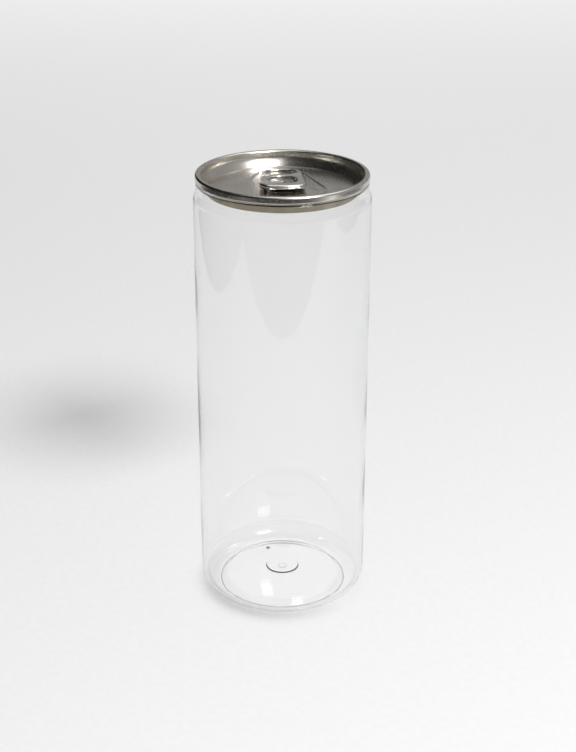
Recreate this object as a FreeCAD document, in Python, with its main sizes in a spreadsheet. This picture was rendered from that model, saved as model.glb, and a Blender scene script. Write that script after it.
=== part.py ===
"""Clear PET drink can closed by a double-seamed metal end with a stay-on pull tab.

Frame: +Z up, origin at the middle of the standing ring, millimetres.
Nodes: pet_body (blown PET), metal_end (sheet end with its rivet), pull_tab (curled tab).
"""
import FreeCAD, Part
import math
import os
import re
import Sketcher
from FreeCAD import Placement, Rotation, Vector

# Driving dimensions: name, value in millimetres (degrees where the note says so), note.
SIZES = [
    ("can_height", 149.8, "floor to the top of the seam"),
    ("body_diameter", 57.6, "outside of the straight wall"),
    ("wall", 0.5, "blown wall"),
    ("heel_radius", 6.6, "outside radius between wall and foot"),
    ("foot_width", 1.0, "flat of the standing ring"),
    ("foot_radius", 0.8, "rounding at the inner side of the ring"),
    ("base_step_width", 1.8, "run of the step inside the ring"),
    ("base_step_height", 2.2, "rise of the step inside the ring"),
    ("base_edge_radius", 1.5, "rounding at the top of that step"),
    ("base_dome", 1.4, "further rise of the floor to its middle"),
    ("base_dome_radius", 90.0, "curve of the floor"),
    ("base_thickness", 0.9, "floor thickness, thicker than the wall"),
    ("gate_radius", 5.8, "moulded disc at the middle of the floor"),
    ("gate_height", 0.35, "height of that disc inside"),
    ("gate_nub_radius", 1.4, "injection point underneath"),
    ("gate_nub_height", 0.3, "its height"),
    ("shoulder_depth", 8.0, "top of the seam to the foot of the shoulder"),
    ("shoulder_radius", 4.0, "rounding at the foot of the shoulder"),
    ("neck_depth", 5.33, "top of the seam to the foot of the neck"),
    ("neck_diameter", 55.8, "outside of the neck"),
    ("neck_wall", 0.5, "neck thickness"),
    ("neck_radius", 1.0, "rounding at the foot of the neck"),
    ("ledge_gap", 0.35, "groove between the seam and the neck"),
    ("ledge_radius", 0.3, "rounding of the ledge under the seam"),
    ("flange_wall", 0.42, "flange that is folded into the seam"),
    ("flange_fold_radius", 0.45, "outside of the flange's fold"),
    ("seam_clearance", 0.06, "between the folded layers"),
    ("sheet", 0.25, "metal of the end"),
    ("seam_diameter", 56.12, "outside of the seam"),
    ("plug_diameter", 52.4, "inside of the seam"),
    ("seam_height", 2.3, "length of the seam"),
    ("seam_crest_radius", 0.75, "rounding at the top of the seam"),
    ("seam_foot_radius", 0.6, "rounding at the bottom of the seam"),
    ("cover_hook_depth", 0.95, "top of the seam to the tip of the cover hook"),
    ("body_hook_lift", 0.2, "tip of the body hook above the seam's inner bottom"),
    ("chuck_kink_depth", 2.5, "top of the seam to the start of the sloping wall"),
    ("chuck_kink_radius", 1.5, "rounding there"),
    ("countersink_depth", 6.1, "top of the seam to the underside of the groove"),
    ("countersink_width", 0.9, "groove between sloping wall and panel"),
    ("countersink_radius", 0.4, "rounding at the bottom of the groove"),
    ("panel_depth", 4.5, "top of the seam to the panel"),
    ("panel_diameter", 46.6, "centre panel"),
    ("panel_radius", 0.55, "rounding at the panel's edge"),
    ("deboss_depth", 0.4, "recessed field around the tab"),
    ("deboss_slope", 1.1, "width of the sloping edge of that field"),
    ("deboss_front_radius", 14.2, "large end of the field"),
    ("deboss_front_y", -5.4, "centre of the large end"),
    ("deboss_heel_radius", 9.2, "small end of the field"),
    ("deboss_heel_y", 10.5, "centre of the small end"),
    ("score_width", 22.6, "scored opening, side to side"),
    ("score_front_y", -16.9, "front of the opening"),
    ("score_back_y", -0.4, "back of the opening, beside the rivet"),
    ("score_corner_radius", 8.6, "front corners of the opening"),
    ("score_back_radius", 6.0, "its back corner, away from the hinge"),
    ("score_notch_width", 8.4, "where the score passes round the rivet"),
    ("score_notch_y", -4.6, "front of that notch"),
    ("score_notch_radius", 0.7, "corners where the notch opens"),
    ("score_line", 0.3, "width of the scored groove"),
    ("score_depth", 0.1, "its depth"),
    ("nose_bead_width", 10.0, "raised bead in the opening, middle to middle"),
    ("nose_bead_front_y", -14.6, "front of the bead"),
    ("nose_bead_back_y", -6.4, "back of the bead, under the nose of the tab"),
    ("nose_bead_corner", 3.2, "corners of the bead"),
    ("nose_bead_radius", 0.45, "round section of the bead"),
    ("rivet_base_radius", 3.6, "foot of the raised seat under the tab"),
    ("rivet_seat_radius", 2.5, "flat of that seat"),
    ("rivet_seat_height", 0.4, "its height above the recessed field"),
    ("rivet_stem_radius", 1.6, "stem through the tab"),
    ("rivet_head_radius", 2.2, "flattened head"),
    ("rivet_head_height", 0.4, "its thickness"),
    ("tab_clearance", 0.12, "around the stem and on both faces of the island"),
    ("tab_width", 15.3, "across the curls at the nose"),
    ("tab_heel_width", 14.2, "across the curls at the heel"),
    ("tab_nose_y", -8.0, "front of the nose"),
    ("tab_heel_y", 15.3, "back of the finger loop"),
    ("tab_nose_bow", 0.9, "how far the nose bows forward"),
    ("tab_heel_bow", 3.2, "how far the heel bows back"),
    ("tab_nose_corner", 3.0, "corner radius at the nose"),
    ("tab_heel_corner", 4.0, "corner radius at the heel"),
    ("tab_bow_radius", 22.0, "curve of the nose between its corners"),
    ("tab_loop_radius", 7.6, "curve of the heel between its corners"),
    ("tab_depth", 3.2, "top of the seam to the middle of the curl, at the rivet"),
    ("tab_tilt", 2.0, "degrees, nose up"),
    ("curl_radius", 0.75, "outer curl"),
    ("hem_radius", 0.35, "curl round the finger hole"),
    ("web", 0.32, "plate between the curls"),
    ("web_rise", 0.5, "middle of the curl to the top of the plate"),
    ("island_sheet", 0.25, "plate held by the rivet"),
    ("island_radius", 3.4, "its outline"),
    ("slot_radius", 4.8, "outer edge of the slot round the island"),
    ("lip_radius", 0.38, "rolled lip of the bridge above the slot"),
    ("finger_back_y", 14.1, "finger hole, side of the heel"),
    ("finger_front_y", 8.5, "finger hole, side of the bridge"),
    ("finger_width", 10.9, "finger hole, side to side"),
    ("finger_corner", 2.3, "corners of the finger hole"),
]

doc = FreeCAD.newDocument("pet_can")
sheet = doc.addObject("Spreadsheet::Sheet", "Sizes")
for row, (name, value, note) in enumerate(SIZES, start=1):
    sheet.set(f"A{row}", name)
    sheet.set(f"B{row}", str(value))
    sheet.set(f"C{row}", note)
    sheet.setAlias(f"B{row}", name)
doc.recompute()
NAMES = {name for name, value, note in SIZES}


def bound(expression):
    """Write a formula of size names so that it reads them from the sheet."""
    return re.sub(r"[a-z_]+", lambda hit: f"Sizes.{hit.group()}" if hit.group() in NAMES else hit.group(),
                  expression)


def number(expression):
    """Value of a formula of size names."""
    return float(sheet.evalExpression(bound(expression)))


def origin_plane(body, role):
    """Origin plane of a body by its role."""
    return next(plane for plane in body.Origin.OriginFeatures if plane.Role == role)


def new_sketch(body, name, role, offset="0"):
    """Sketch on an origin plane of its body, lifted along the plane's normal."""
    sketch = body.newObject("Sketcher::SketchObject", name)
    sketch.AttachmentSupport = (origin_plane(body, role), [""])
    sketch.MapMode = "FlatFace"
    sketch.AttachmentOffset = Placement(Vector(0, 0, number(offset)), Rotation())
    sketch.setExpression("AttachmentOffset.Base.z", bound(offset))
    return sketch


def bind(sketch, constraint, expression):
    """Add a dimension to a sketch and tie it to the sheet."""
    index = sketch.addConstraint(constraint)
    sketch.setExpression(f"Constraints[{index}]", bound(expression))


def pin(sketch, geometry, position, x, y):
    """Hold a point of a sketch at a formula x and a formula y."""
    for axis, kind, expression in ((-2, "DistanceX", x), (-1, "DistanceY", y)):
        if expression == "0":
            sketch.addConstraint(Sketcher.Constraint("PointOnObject", geometry, position, axis))
        else:
            value = number(expression)
            bind(sketch, Sketcher.Constraint(kind, -1, 1, geometry, position, value), expression)


def rounded_path(sketch, corners, closed=True):
    """Straight runs between corners (x, y, radius), each corner rounded when it has a radius.

    A rounded corner keeps a pinned construction point where its two runs would meet.
    """
    count = len(corners)
    points = [Vector(number(x), number(y), 0) for x, y, radius in corners]
    radii = [number(radius) if radius else 0.0 for x, y, radius in corners]
    run_count = count if closed else count - 1
    starts = list(points)
    ends = list(points)
    arcs = {}
    for i in range(count):
        if not radii[i]:
            continue
        back = (points[i - 1] - points[i]).normalize()
        ahead = (points[(i + 1) % count] - points[i]).normalize()
        half_angle = back.getAngle(ahead) / 2
        reach = radii[i] / math.tan(half_angle)
        ends[i] = points[i] + back * reach
        starts[i] = points[i] + ahead * reach
        centre = points[i] + (back + ahead).normalize() * (radii[i] / math.sin(half_angle))
        left_turn = back.cross(ahead).z < 0
        first, last = (ends[i], starts[i]) if left_turn else (starts[i], ends[i])
        circle = Part.Circle(centre, Vector(0, 0, 1), radii[i])
        arc = Part.ArcOfCircle(circle, circle.parameter(first), circle.parameter(last))
        arcs[i] = (arc, 1 if left_turn else 2, 2 if left_turn else 1)

    runs = [sketch.addGeometry(Part.LineSegment(starts[i], ends[(i + 1) % count])) for i in range(run_count)]
    for i in range(count):
        run_in = runs[i - 1] if closed or i > 0 else None
        run_out = runs[i] if i < run_count else None
        x, y, radius = corners[i]
        if i in arcs:
            arc, entry, leave = arcs[i]
            bend = sketch.addGeometry(arc)
            sketch.addConstraint(Sketcher.Constraint("Tangent", run_in, 2, bend, entry))
            sketch.addConstraint(Sketcher.Constraint("Tangent", bend, leave, run_out, 1))
            bind(sketch, Sketcher.Constraint("Radius", bend, radii[i]), radius)
            apex = sketch.addGeometry(Part.Point(points[i]), True)
            pin(sketch, apex, 1, x, y)
            for run in (run_in, run_out):
                sketch.addConstraint(Sketcher.Constraint("PointOnObject", apex, 1, run))
        elif run_out is None:
            pin(sketch, run_in, 2, x, y)
        else:
            pin(sketch, run_out, 1, x, y)
            if run_in is not None:
                sketch.addConstraint(Sketcher.Constraint("Coincident", run_in, 2, run_out, 1))


def path_sketch(body, name, role, corners, offset="0", closed=True):
    """Sketch that holds one rounded path."""
    sketch = new_sketch(body, name, role, offset)
    rounded_path(sketch, corners, closed)
    return sketch


def circle_sketch(body, name, role, x, y, radius, offset="0"):
    """Sketch that holds one circle."""
    sketch = new_sketch(body, name, role, offset)
    centre = Vector(number(x), number(y), 0)
    ring = sketch.addGeometry(Part.Circle(centre, Vector(0, 0, 1), number(radius)))
    pin(sketch, ring, 3, x, y)
    bind(sketch, Sketcher.Constraint("Radius", ring, number(radius)), radius)
    return sketch


def revolve(body, name, sketch, angle=360.0):
    """Turn a section round the upright axis, evenly to both sides when it isn't a full turn."""
    feature = body.newObject("PartDesign::Revolution", name)
    feature.Profile = sketch
    feature.ReferenceAxis = (sketch, ["V_Axis"])
    feature.Angle = angle
    feature.Midplane = angle < 360.0
    return feature


def sweep(body, name, kind, section, spine):
    """Carry a round section along a flat path."""
    feature = body.newObject(f"PartDesign::{kind}Pipe", name)
    feature.Profile = section
    feature.Spine = (spine, [])
    return feature


def pocket(body, name, sketch):
    """Cut a sketch's outline through everything on both sides of it."""
    feature = body.newObject("PartDesign::Pocket", name)
    feature.Profile = sketch
    feature.Type = "ThroughAll"
    feature.Midplane = True
    return feature


def shallow_cut(body, name, sketch, thickness):
    """Cut a sketch's outline evenly to both sides, over a stated thickness."""
    feature = pocket(body, name, sketch)
    feature.Type = "Length"
    feature.Length = number(thickness)
    feature.setExpression("Length", bound(thickness))
    return feature


def mirrored(half):
    """Closed outline from the corners of its right half, listed from the front to the back."""
    left = [(f"-({x})", y, radius) for x, y, radius in reversed(half) if x != "0"]
    return half + left


def new_body(label):
    """Empty body whose label names the node."""
    body = doc.addObject("PartDesign::Body", label)
    body.Label = label
    return body


def build_pet_body():
    """Blown can: heel, pushed-up floor, straight wall, shoulder, neck and folded flange."""
    body = new_body("pet_body")
    outside = "body_diameter / 2"
    foot = f"{outside} - heel_radius - foot_width"
    floor_edge = f"{foot} - base_step_width"
    floor_middle = f"({floor_edge}) / 2"
    floor_rise = "base_step_height + base_dome"
    neck = "neck_diameter / 2"
    ledge = "can_height - seam_height - ledge_gap"
    flange_in = "plug_diameter / 2 + sheet + seam_clearance"
    flange_out = f"{flange_in} + flange_wall"
    hook_out = "seam_diameter / 2 - sheet - seam_clearance"
    hook_in = f"{hook_out} - flange_wall"
    flange_top = "can_height - sheet - seam_clearance"
    hook_tip = "can_height - seam_height + sheet + body_hook_lift"
    underside = [
        ("0", f"{floor_rise} - gate_nub_height", None),
        ("gate_nub_radius", f"{floor_rise} - gate_nub_height", None),
        ("gate_nub_radius", floor_rise, None),
        (floor_middle, floor_rise, "base_dome_radius"),
        (floor_edge, "base_step_height", "base_edge_radius"),
        (foot, "0", "foot_radius"),
    ]
    outer_wall = [
        (outside, "0", "heel_radius"),
        (outside, "can_height - shoulder_depth", "shoulder_radius"),
        (neck, "can_height - neck_depth", "neck_radius"),
        (neck, ledge, "ledge_radius"),
        (flange_out, ledge, "ledge_radius / 2"),
    ]
    flange = [
        (flange_out, f"{flange_top} - flange_wall", "seam_clearance * 2"),
        (hook_in, f"{flange_top} - flange_wall", "seam_clearance * 2"),
        (hook_in, hook_tip, "flange_wall / 3"),
        (hook_out, hook_tip, "flange_wall / 3"),
        (hook_out, flange_top, "flange_fold_radius"),
        (flange_in, flange_top, "flange_fold_radius"),
    ]
    inner_wall = [
        (flange_in, f"{ledge} - flange_wall", "ledge_radius"),
        (f"{neck} - neck_wall", f"{ledge} - flange_wall", "ledge_radius"),
        (f"{neck} - neck_wall", "can_height - neck_depth", "neck_radius"),
        (f"{outside} - wall", "can_height - shoulder_depth", "shoulder_radius"),
        (f"{outside} - wall", "wall", "heel_radius - wall"),
        (f"{foot} + wall / 2", "wall", "foot_radius"),
        (f"{floor_edge} + wall / 2", "base_step_height + base_thickness", "base_edge_radius"),
        (floor_middle, f"{floor_rise} + base_thickness", "base_dome_radius"),
        ("gate_radius", f"{floor_rise} + base_thickness", None),
        ("gate_radius - gate_height", f"{floor_rise} + base_thickness + gate_height", None),
        ("0", f"{floor_rise} + base_thickness + gate_height", None),
    ]
    section = path_sketch(body, "pet_section", "XZ_Plane", underside + outer_wall + flange + inner_wall)
    revolve(body, "pet_shell", section)
    return body


def field_outline(body, name, height, inset):
    """Teardrop outline round the tab: a large arc, a small arc and the two lines that touch both."""
    sketch = new_sketch(body, name, "XY_Plane", height)
    front_radius = f"deboss_front_radius - {inset}"
    heel_radius = f"deboss_heel_radius - {inset}"
    front_y = number("deboss_front_y")
    heel_y = number("deboss_heel_y")
    tilt = math.asin((number(front_radius) - number(heel_radius)) / (heel_y - front_y))
    front_circle = Part.Circle(Vector(0, front_y, 0), Vector(0, 0, 1), number(front_radius))
    heel_circle = Part.Circle(Vector(0, heel_y, 0), Vector(0, 0, 1), number(heel_radius))
    front_arc = Part.ArcOfCircle(front_circle, math.pi - tilt, 2 * math.pi + tilt)
    heel_arc = Part.ArcOfCircle(heel_circle, tilt, math.pi - tilt)
    right = Part.LineSegment(front_arc.EndPoint, heel_arc.StartPoint)
    left = Part.LineSegment(heel_arc.EndPoint, front_arc.StartPoint)
    loop = [sketch.addGeometry(part) for part in (front_arc, right, heel_arc, left)]
    for i, part in enumerate(loop):
        sketch.addConstraint(Sketcher.Constraint("Tangent", part, 2, loop[(i + 1) % 4], 1))
    for arc, radius, y in ((loop[0], front_radius, "deboss_front_y"), (loop[2], heel_radius, "deboss_heel_y")):
        pin(sketch, arc, 3, "0", y)
        bind(sketch, Sketcher.Constraint("Radius", arc, number(radius)), radius)
    return sketch


def score_side(shift):
    """Corners of the score's line, moved outward from the opening by a shift."""
    side = f"(score_width / 2 + {shift})"
    front = f"score_front_y - ({shift})"
    back = f"score_back_y + {shift}"
    notch = f"(score_notch_width / 2 - ({shift}))"
    notch_front = f"score_notch_y + {shift}"
    corner = f"score_corner_radius + {shift}"
    notch_top = f"score_notch_radius + {shift}"
    notch_foot = f"score_notch_width * 0.35 - ({shift})"
    return [
        (f"-{side}", "score_front_y + score_corner_radius * 1.2", None),
        (f"-{side}", front, corner),
        (side, front, corner),
        (side, back, f"score_back_radius + {shift}"),
        (notch, back, notch_top),
        (notch, notch_front, notch_foot),
        (f"-{notch}", notch_front, notch_foot),
        (f"-{notch}", back, notch_top),
        ("-score_width * 0.3", back, None),
    ]


def build_metal_end():
    """Sheet end: double seam, sloping wall, countersink, panel, recessed field, score and rivet."""
    body = new_body("metal_end")
    plug = "plug_diameter / 2"
    seam = "seam_diameter / 2"
    hook = f"{plug} + sheet + seam_clearance + flange_wall + seam_clearance"
    panel = "panel_diameter / 2"
    panel_top = "can_height - panel_depth"
    seam_foot = "can_height - seam_height"
    groove = "can_height - countersink_depth"
    outer_face = [
        ("0", panel_top, None),
        (panel, panel_top, "panel_radius"),
        (panel, f"{groove} + sheet", "countersink_radius"),
        (f"{panel} + countersink_width", f"{groove} + sheet", "countersink_radius"),
        (plug, "can_height - chuck_kink_depth", "chuck_kink_radius"),
        (plug, "can_height", "seam_crest_radius"),
        (seam, "can_height", "seam_crest_radius"),
        (seam, seam_foot, "seam_foot_radius"),
        (hook, seam_foot, "seam_foot_radius - seam_clearance * 3"),
        (hook, "can_height - cover_hook_depth", None),
    ]
    inner_face = [
        (f"{hook} + sheet", "can_height - cover_hook_depth", None),
        (f"{hook} + sheet", f"{seam_foot} + sheet", "seam_foot_radius - seam_clearance * 3 - sheet"),
        (f"{seam} - sheet", f"{seam_foot} + sheet", "seam_foot_radius - sheet"),
        (f"{seam} - sheet", "can_height - sheet", "seam_crest_radius - sheet"),
        (f"{plug} + sheet", "can_height - sheet", "seam_crest_radius - sheet"),
        (f"{plug} + sheet", "can_height - chuck_kink_depth", "chuck_kink_radius"),
        (f"{panel} + countersink_width + sheet", groove, "countersink_radius + sheet * 0.8"),
        (f"{panel} - sheet", groove, "countersink_radius + sheet * 0.8"),
        (f"{panel} - sheet", f"{panel_top} - sheet", "panel_radius - sheet"),
        ("0", f"{panel_top} - sheet", None),
    ]
    section = path_sketch(body, "end_section", "XZ_Plane", outer_face + inner_face)
    revolve(body, "end_sheet", section)

    # The field round the tab is pressed down: metal added below the panel, then the same form cut above.
    for kind, drop in (("Additive", " - sheet"), ("Subtractive", "")):
        rim = field_outline(body, f"field_rim_{kind}", f"{panel_top}{drop}", "0")
        floor = field_outline(body, f"field_floor_{kind}", f"{panel_top} - deboss_depth{drop}", "deboss_slope")
        loft = body.newObject(f"PartDesign::{kind}Loft", f"field_{kind}")
        loft.Profile = rim
        loft.Sections = [floor]
        loft.Ruled = True

    floor_top = f"{panel_top} - deboss_depth"
    seat_top = f"{floor_top} + rivet_seat_height"
    head_under = f"{seat_top} + tab_clearance * 2 + island_sheet"
    head_top = f"{head_under} + rivet_head_height"
    cavity = "rivet_stem_radius - sheet * 2"
    hole = circle_sketch(body, "rivet_hole", "XY_Plane", "0", "0", "rivet_base_radius - sheet", floor_top)
    shallow_cut(body, "rivet_opening", hole, "4 * sheet")
    rivet = [
        ("0", head_top, None),
        ("rivet_head_radius", head_top, "rivet_head_height / 2"),
        ("rivet_head_radius", head_under, None),
        ("rivet_stem_radius", head_under, None),
        ("rivet_stem_radius", seat_top, None),
        ("rivet_seat_radius", seat_top, "sheet"),
        ("rivet_base_radius", floor_top, None),
        ("rivet_base_radius", f"{floor_top} - sheet", None),
        ("rivet_base_radius - sheet", f"{floor_top} - sheet", None),
        ("rivet_seat_radius - sheet / 2", f"{seat_top} - sheet", None),
        (cavity, f"{seat_top} - sheet", None),
        (cavity, head_under, None),
        ("0", head_under, None),
    ]
    rivet_section = path_sketch(body, "rivet_section", "XZ_Plane", rivet)
    revolve(body, "rivet", rivet_section)

    # Score of the opening, open at the left where the torn panel stays hinged.
    outer_side = score_side("score_line / 2")
    inner_side = score_side("-score_line / 2")
    score_outline = path_sketch(body, "score_outline", "XY_Plane", outer_side + inner_side[::-1], floor_top)
    shallow_cut(body, "score", score_outline, "2 * score_depth")

    bead = "nose_bead_width / 2"
    bead_path = mirrored([
        (bead, "nose_bead_front_y", "nose_bead_corner"),
        (bead, "nose_bead_back_y", "nose_bead_corner"),
    ])
    bead_middle = "(nose_bead_front_y + nose_bead_back_y) / 2"
    bead_lift = f"{floor_top} - nose_bead_radius / 4"
    bead_spine = path_sketch(body, "bead_path", "XY_Plane", bead_path, bead_lift)
    bead_section = circle_sketch(body, "bead_section", "XZ_Plane", bead, bead_lift, "nose_bead_radius",
                                 f"-({bead_middle})")
    sweep(body, "nose_bead", "Additive", bead_section, bead_spine)
    return body


def build_pull_tab():
    """Stay-on tab, modelled level round the rivet's axis, then tilted and set at its height."""
    body = new_body("pull_tab")
    nose_half = "tab_width / 2 - curl_radius"
    heel_half = "tab_heel_width / 2 - curl_radius"
    # The rounded ends stop short of the points where their edges would meet, by this much.
    nose_reach = f"tab_bow_radius * (sqrt(1 + (tab_nose_bow / ({nose_half}))^2) - 1)"
    heel_reach = f"tab_loop_radius * (sqrt(1 + (tab_heel_bow / ({heel_half}))^2) - 1)"
    nose = f"tab_nose_y + curl_radius - {nose_reach}"
    heel = f"tab_heel_y - curl_radius + {heel_reach}"
    outline = mirrored([
        ("0", nose, "tab_bow_radius"),
        (nose_half, f"{nose} + tab_nose_bow", "tab_nose_corner"),
        (heel_half, f"{heel} - tab_heel_bow", "tab_heel_corner"),
        ("0", heel, "tab_loop_radius"),
    ])
    web_top = "web_rise"
    web_middle = "web_rise - web / 2"
    plate = path_sketch(body, "web_outline", "XY_Plane", outline, f"{web_top} - web")
    pad = body.newObject("PartDesign::Pad", "web")
    pad.Profile = plate
    pad.Length = number("web")
    pad.setExpression("Length", bound("web"))

    finger = mirrored([
        ("0", "finger_front_y - finger_corner * 0.15", "finger_width"),
        ("finger_width / 2", "finger_front_y + finger_corner * 0.35", "finger_corner * 0.8"),
        ("finger_width / 2 - finger_corner * 0.8", "finger_back_y - finger_corner * 0.15", "finger_corner"),
        ("0", "finger_back_y", "finger_width"),
    ])
    pocket(body, "finger_hole", path_sketch(body, "finger_outline", "XY_Plane", finger))
    pocket(body, "island_opening", circle_sketch(body, "slot_outline", "XY_Plane", "0", "0", "slot_radius"))

    side_y = f"({nose} + {heel}) / 2"
    side_x = f"{nose_half} + ({heel_half} - ({nose_half})) * ({side_y} - ({nose} + tab_nose_bow))" \
             f" / ({heel} - tab_heel_bow - ({nose} + tab_nose_bow))"
    curl_path = path_sketch(body, "curl_path", "XY_Plane", outline)
    curl_section = circle_sketch(body, "curl_section", "XZ_Plane", side_x, "0", "curl_radius", f"-({side_y})")
    sweep(body, "curl", "Additive", curl_section, curl_path)

    hem_path = path_sketch(body, "hem_path", "XY_Plane", finger, web_middle)
    hem_section = circle_sketch(body, "hem_section", "YZ_Plane", "finger_back_y", web_middle, "hem_radius")
    sweep(body, "hem", "Additive", hem_section, hem_path)

    # Island under the rivet's head, hung from the nose side by a sloping half ring.
    tab_level = "can_height - tab_depth"
    seat_top = "can_height - panel_depth - deboss_depth + rivet_seat_height"
    island_under = f"{seat_top} + tab_clearance - ({tab_level})"
    island_top = f"{island_under} + island_sheet"
    island = [
        ("rivet_stem_radius + tab_clearance", island_under, None),
        ("island_radius", island_under, None),
        ("island_radius", island_top, None),
        ("rivet_stem_radius + tab_clearance", island_top, None),
    ]
    hinge_angle = 160.0
    slope = [
        ("-island_radius + island_sheet", island_under, None),
        ("-island_radius + island_sheet", island_top, None),
        ("-slot_radius", web_top, None),
        ("-slot_radius - island_sheet", web_top, None),
        ("-slot_radius - island_sheet", f"{web_top} - web", None),
        ("-slot_radius", f"{web_top} - web", None),
    ]
    revolve(body, "hinge_slope", path_sketch(body, "slope_section", "YZ_Plane", slope), hinge_angle)
    revolve(body, "island", path_sketch(body, "island_section", "XZ_Plane", island))
    lip = circle_sketch(body, "lip_section", "YZ_Plane", "slot_radius + lip_radius / 2", web_middle, "lip_radius")
    revolve(body, "bridge_lip", lip, 365.0 - hinge_angle)

    body.Placement = Placement(Vector(0, 0, number(tab_level)), Rotation(Vector(1, 0, 0), -number("tab_tilt")))
    body.setExpression("Placement.Base.z", bound(tab_level))
    body.setExpression("Placement.Rotation.Angle", bound("-tab_tilt"))
    return body


bodies = [build_pet_body(), build_metal_end(), build_pull_tab()]
doc.recompute()

for item in doc.Objects:
    if "Invalid" in item.State or "Error" in item.State:
        raise RuntimeError(f"{item.Name} failed: {item.State}")
for body in bodies:
    if body.Shape.isNull() or not body.Shape.isValid() or len(body.Shape.Solids) != 1:
        raise RuntimeError(f"{body.Label} isn't one valid solid")

os.makedirs("parts", exist_ok=True)
for body in bodies:
    body.Shape.exportStep(f"parts/{body.Label}.step")
    box = body.Shape.BoundBox
    print(f"{body.Label}: {body.Shape.Volume:.1f} mm3, z {box.ZMin:.2f} to {box.ZMax:.2f}, width {box.XLength:.2f}")
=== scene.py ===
import math

import bpy
import numpy as np
from mathutils import Matrix, Vector


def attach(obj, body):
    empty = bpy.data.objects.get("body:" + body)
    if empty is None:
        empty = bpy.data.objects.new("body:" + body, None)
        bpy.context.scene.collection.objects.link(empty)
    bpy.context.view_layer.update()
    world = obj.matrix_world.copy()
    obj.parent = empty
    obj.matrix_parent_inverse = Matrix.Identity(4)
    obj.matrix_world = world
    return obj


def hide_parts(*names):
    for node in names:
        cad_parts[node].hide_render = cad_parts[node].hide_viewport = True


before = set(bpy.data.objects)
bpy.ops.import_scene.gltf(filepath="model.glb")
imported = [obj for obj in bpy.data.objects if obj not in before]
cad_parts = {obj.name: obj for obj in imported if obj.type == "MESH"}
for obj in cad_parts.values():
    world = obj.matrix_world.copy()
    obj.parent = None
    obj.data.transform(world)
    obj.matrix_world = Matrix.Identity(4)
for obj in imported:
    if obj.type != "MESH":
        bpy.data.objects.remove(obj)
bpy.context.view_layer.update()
mm = 0.001
print("frame loaded")


# Linear colour with full alpha from a six digit sRGB code.
def linearColour(code):
    parts = [int(code[i:i + 2], 16) / 255 for i in (0, 2, 4)]
    return [c / 12.92 if c <= 0.04045 else ((c + 0.055) / 1.055) ** 2.4 for c in parts] + [1.0]


# Material whose shader's own sockets hold the settings.
def newMaterial(name, settings):
    made = bpy.data.materials.new(name)
    made.use_nodes = True
    shader = made.node_tree.nodes["Principled BSDF"]
    for socket, value in settings.items():
        shader.inputs[socket].default_value = value
    return made, made.node_tree, shader


# Links into a node's sockets; a node stands for its first output.
def feed(tree, node, links):
    for socket, source in links.items():
        output = source.outputs[0] if isinstance(source, bpy.types.Node) else source
        tree.links.new(output, node.inputs[socket])


# Node of a kind with its settings and the links that feed it.
def addNode(tree, kind, settings, links):
    node = tree.nodes.new(kind)
    for key, value in settings.items():
        if isinstance(key, str) and hasattr(node, key):
            setattr(node, key, value)
        else:
            node.inputs[key].default_value = value
    feed(tree, node, links)
    return node


# Points of a section: straight runs between corners (radius, height, rounding), each rounding an arc.
def roundedSection(corners, closed=False, arcStep=9.0, hold=0.06):
    corners = [np.array(c, float) for c in corners]
    count = len(corners)
    points = []
    for i, corner in enumerate(corners):
        at, rounding = corner[:2], corner[2]
        if rounding <= 0 or (not closed and i in (0, count - 1)):
            points.append(at)
            continue
        back = corners[i - 1][:2] - at
        ahead = corners[(i + 1) % count][:2] - at
        back /= np.linalg.norm(back)
        ahead /= np.linalg.norm(ahead)
        halfAngle = math.acos(np.clip(back @ ahead, -1, 1)) / 2
        reach = rounding / math.tan(halfAngle)
        bisector = (back + ahead) / np.linalg.norm(back + ahead)
        centre = at + bisector * rounding / math.sin(halfAngle)
        first, last = at + back * reach - centre, at + ahead * reach - centre
        sweep = math.pi - 2 * halfAngle
        steps = max(3, math.ceil(math.degrees(sweep) / arcStep))
        side = math.copysign(1, first[0] * last[1] - first[1] * last[0])
        turns = np.linspace(0, sweep, steps + 1) * side
        arc = np.stack([first[0] * np.cos(turns) - first[1] * np.sin(turns),
                        first[0] * np.sin(turns) + first[1] * np.cos(turns)], 1) + centre
        points += [arc[0] + back * hold, *arc, arc[-1] + ahead * hold]
    return np.array(points)


# Mesh object over a grid of points, a face between each four neighbours; a pole row shrinks to one vertex.
def gridSurface(name, grid, wrapRows=False, wrapColumns=True, poles=(False, False)):
    rows, columns = grid.shape[:2]
    index = np.arange(rows * columns).reshape(rows, columns)
    if poles[0]:
        index[0] = index[0, 0]
    if poles[1]:
        index[-1] = index[-1, 0]
    if wrapRows:
        index = np.vstack([index, index[:1]])
    if wrapColumns:
        index = np.hstack([index, index[:, :1]])
    quads = np.stack([index[:-1, :-1], index[:-1, 1:], index[1:, 1:], index[1:, :-1]], -1).reshape(-1, 4)
    used, packed = np.unique(quads, return_inverse=True)
    quads = packed.reshape(-1, 4)
    points = grid.reshape(-1, 3)[used]
    atFirst = (quads[:, 0] == quads[:, 1]) | (quads[:, 1] == quads[:, 2])
    atLast = (quads[:, 2] == quads[:, 3]) & ~atFirst
    faces = quads[~atFirst & ~atLast].tolist() + quads[atFirst][:, [0, 2, 3]].tolist()
    faces += quads[atLast][:, :3].tolist()
    mesh = bpy.data.meshes.new(name)
    mesh.from_pydata((points * mm).tolist(), [], faces)
    mesh.polygons.foreach_set("use_smooth", np.ones(len(faces), bool))
    mesh.update()
    made = bpy.data.objects.new(name, mesh)
    bpy.context.collection.objects.link(made)
    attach(made, "root")
    return made


# Points of a section turned round the upright axis: radius x cos and sin of even angles, at the same height.
def turned(section, segments):
    angles = np.arange(segments) * 2 * math.pi / segments
    radius, height = section[:, :1], section[:, 1:]
    return np.stack([radius * np.cos(angles), radius * np.sin(angles), height + 0 * angles], -1)


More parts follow.
